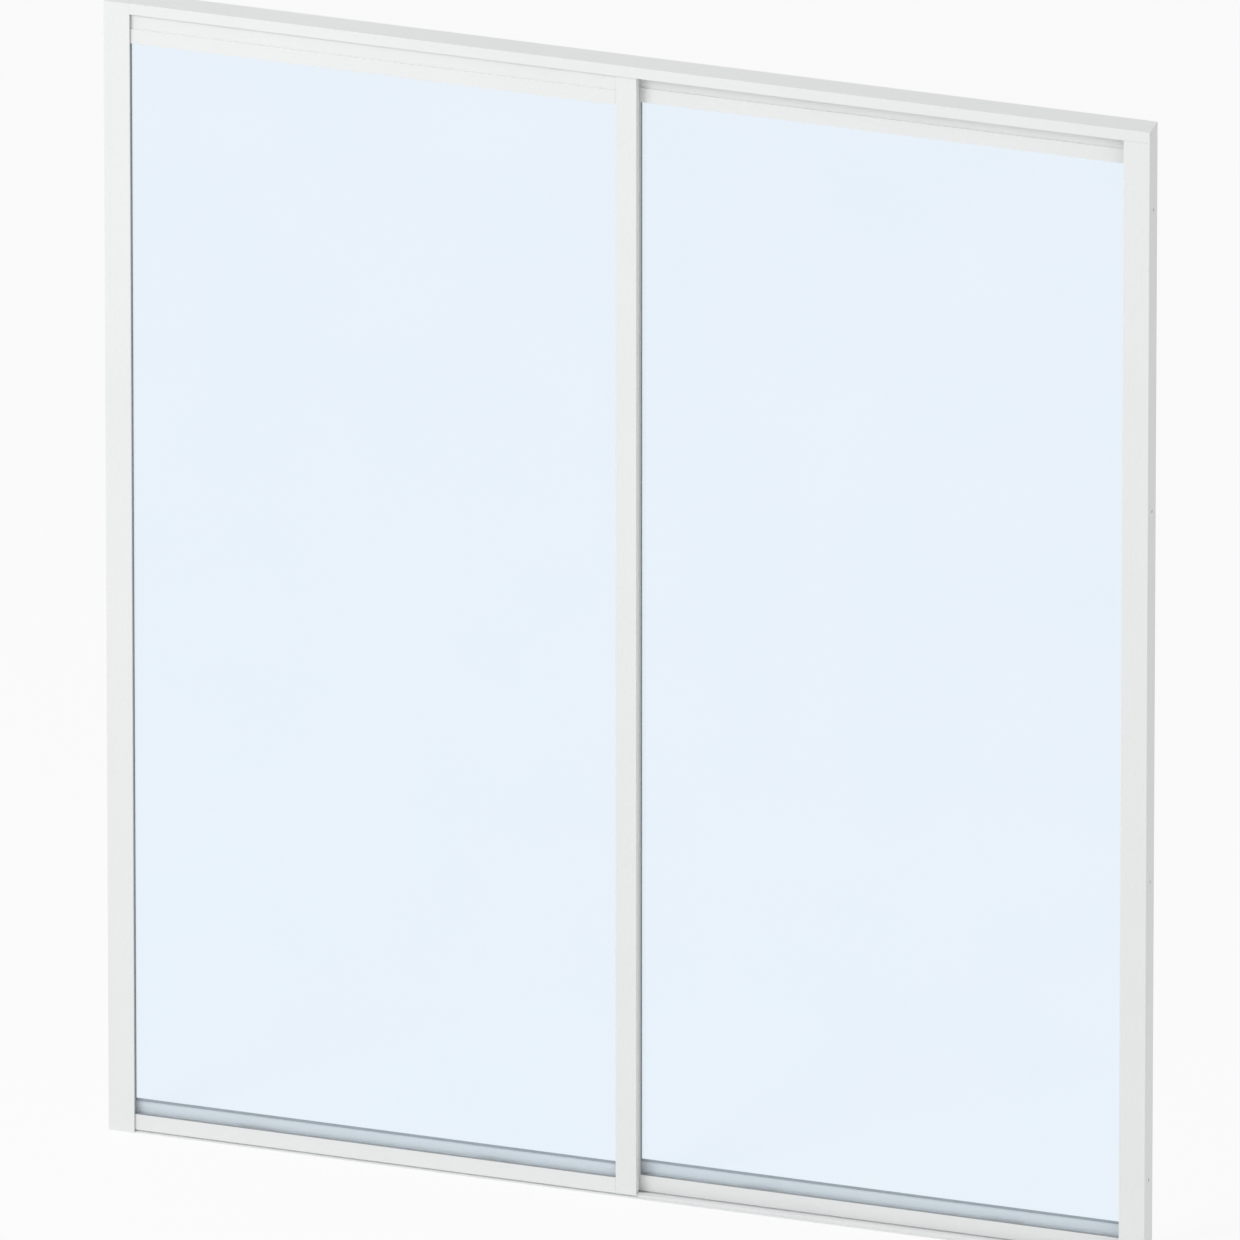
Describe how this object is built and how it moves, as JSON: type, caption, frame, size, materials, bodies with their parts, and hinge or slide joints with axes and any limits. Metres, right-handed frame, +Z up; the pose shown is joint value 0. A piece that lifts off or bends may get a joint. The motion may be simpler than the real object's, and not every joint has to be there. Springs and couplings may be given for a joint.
{
  "type": "pair of sliding glazed doors",
  "caption": "Framed patio door whose two glazed panels roll past each other on a low sill track, with U-shaped jambs, a channelled head and hooked middle stiles.",
  "frame": {"origin": "on the floor, at the middle of the sill", "axes": "+X to the right along the opening, +Y from the front face to the rear, +Z up"},
  "size_m": [1.8, 0.046, 2.08],
  "materials": {
    "white_coat": "satin",
    "float_glass": "gloss",
    "rubber": "matte",
    "pile": "matte",
    "nylon": "matte",
    "wheel_nylon": "satin",
    "steel": "satin"
  },
  "bodies": {
    "frame": {"head_track": "white_coat", "sill_track": "white_coat", "left_jamb": "white_coat", "right_jamb": "white_coat", "frame_screws": "steel", "left_bumpers": "rubber", "right_bumpers": "rubber", "left_pile_seals": "pile", "right_pile_seals": "pile", "anti_lift_blocks": "nylon"},
    "front_door": {"front_top_rail": "white_coat", "front_bottom_rail": "white_coat", "front_jamb_stile": "white_coat", "front_interlock_stile": "white_coat", "front_glass": "float_glass", "front_outer_gasket": "rubber", "front_inner_gasket": "rubber", "front_setting_blocks": "rubber", "front_top_guides": "nylon", "front_corner_screws": "steel", "front_interlock_hook": "white_coat", "front_interlock_pile": "pile", "front_stile_caps": "nylon", "front_screw_hole_caps": "white_coat", "front_outer_carriage": "nylon", "front_outer_axle": "steel", "front_middle_carriage": "nylon", "front_middle_axle": "steel"},
    "front_outer_wheel_body": {"front_outer_wheel": "wheel_nylon"},
    "front_middle_wheel_body": {"front_middle_wheel": "wheel_nylon"},
    "rear_door": {"rear_top_rail": "white_coat", "rear_bottom_rail": "white_coat", "rear_jamb_stile": "white_coat", "rear_interlock_stile": "white_coat", "rear_glass": "float_glass", "rear_outer_gasket": "rubber", "rear_inner_gasket": "rubber", "rear_setting_blocks": "rubber", "rear_top_guides": "nylon", "rear_corner_screws": "steel", "rear_interlock_hook": "white_coat", "rear_interlock_pile": "pile", "rear_stile_caps": "nylon", "rear_screw_hole_caps": "white_coat", "rear_outer_carriage": "nylon", "rear_outer_axle": "steel", "rear_middle_carriage": "nylon", "rear_middle_axle": "steel"},
    "rear_outer_wheel_body": {"rear_outer_wheel": "wheel_nylon"},
    "rear_middle_wheel_body": {"rear_middle_wheel": "wheel_nylon"}
  },
  "joints": [
    {"name": "front_door_slide", "type": "slide", "parent": "frame", "child": "front_door", "axis": [1, 0, 0], "range_m": [0, 0.87]},
    {"name": "front_outer_wheel_spin", "type": "hinge", "parent": "front_door", "child": "front_outer_wheel_body", "pos_m": [-0.826, -0.011, 0.0148], "axis": [0, 1, 0], "range_deg": [0, 6235]},
    {"name": "front_middle_wheel_spin", "type": "hinge", "parent": "front_door", "child": "front_middle_wheel_body", "pos_m": [-0.048, -0.011, 0.0148], "axis": [0, 1, 0], "range_deg": [0, 6235]},
    {"name": "rear_door_slide", "type": "slide", "parent": "frame", "child": "rear_door", "axis": [-1, 0, 0], "range_m": [0, 0.87]},
    {"name": "rear_outer_wheel_spin", "type": "hinge", "parent": "rear_door", "child": "rear_outer_wheel_body", "pos_m": [0.826, 0.011, 0.0148], "axis": [0, -1, 0], "range_deg": [0, 6235]},
    {"name": "rear_middle_wheel_spin", "type": "hinge", "parent": "rear_door", "child": "rear_middle_wheel_body", "pos_m": [0.048, 0.011, 0.0148], "axis": [0, -1, 0], "range_deg": [0, 6235]}
  ],
  "couplings": [
    {"joint": "front_outer_wheel_spin", "follows": "front_door_slide", "rad_per_m": 125},
    {"joint": "front_middle_wheel_spin", "follows": "front_door_slide", "rad_per_m": 125},
    {"joint": "rear_outer_wheel_spin", "follows": "rear_door_slide", "rad_per_m": 125},
    {"joint": "rear_middle_wheel_spin", "follows": "rear_door_slide", "rad_per_m": 125}
  ]
}
